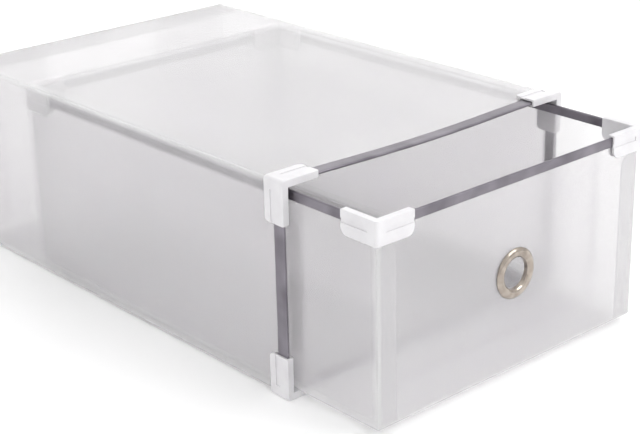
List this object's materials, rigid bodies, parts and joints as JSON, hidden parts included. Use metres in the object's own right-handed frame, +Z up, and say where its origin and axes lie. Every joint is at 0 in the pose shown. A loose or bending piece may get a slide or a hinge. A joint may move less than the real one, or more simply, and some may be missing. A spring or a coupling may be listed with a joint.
{
  "type": "shoe box",
  "caption": "Drawer-type shoe box of creased frosted polypropylene sheet with metal edge strips, moulded corner caps and a grommet finger pull.",
  "frame": {"origin": "centre of the footprint at table height, with the drawer at its rest opening", "axes": "+Z up, +Y towards the closed back; the drawer pulls out towards -Y"},
  "size_m": [0.2236, 0.3978, 0.1296],
  "materials": {
    "frosted_sheet": "frosted, translucent",
    "corner_cap_plastic": "moulded, semi-gloss",
    "edge_strip_steel": "rolled, satin",
    "grommet_nickel": "pressed and nickel plated"
  },
  "bodies": {
    "sleeve": {"sleeve_back_panel": "frosted_sheet", "sleeve_bottom_left_cap": "corner_cap_plastic", "sleeve_bottom_panel": "frosted_sheet", "sleeve_bottom_right_cap": "corner_cap_plastic", "sleeve_bottom_strip": "edge_strip_steel", "sleeve_left_dust_flap": "frosted_sheet", "sleeve_left_panel": "frosted_sheet", "sleeve_left_strip": "edge_strip_steel", "sleeve_right_dust_flap": "frosted_sheet", "sleeve_right_panel": "frosted_sheet", "sleeve_right_strip": "edge_strip_steel", "sleeve_seam_tab": "frosted_sheet", "sleeve_top_left_cap": "corner_cap_plastic", "sleeve_top_panel": "frosted_sheet", "sleeve_top_right_cap": "corner_cap_plastic", "sleeve_top_strip": "edge_strip_steel", "sleeve_tuck_flap": "frosted_sheet"},
    "drawer": {"drawer_back_left_cap": "corner_cap_plastic", "drawer_back_left_tab": "frosted_sheet", "drawer_back_panel": "frosted_sheet", "drawer_back_right_cap": "corner_cap_plastic", "drawer_back_right_tab": "frosted_sheet", "drawer_back_strip": "edge_strip_steel", "drawer_floor_panel": "frosted_sheet", "drawer_front_left_cap": "corner_cap_plastic", "drawer_front_left_tab": "frosted_sheet", "drawer_front_panel": "frosted_sheet", "drawer_front_right_cap": "corner_cap_plastic", "drawer_front_right_tab": "frosted_sheet", "drawer_front_strip": "edge_strip_steel", "drawer_left_panel": "frosted_sheet", "drawer_left_strip": "edge_strip_steel", "drawer_right_panel": "frosted_sheet", "drawer_right_strip": "edge_strip_steel", "grommet_eyelet": "grommet_nickel", "grommet_washer": "grommet_nickel"}
  },
  "joints": [
    {"name": "drawer_slide", "type": "slide", "parent": "sleeve", "child": "drawer", "axis": [0, -1, 0], "range_m": [-0.066, 0.27]}
  ]
}
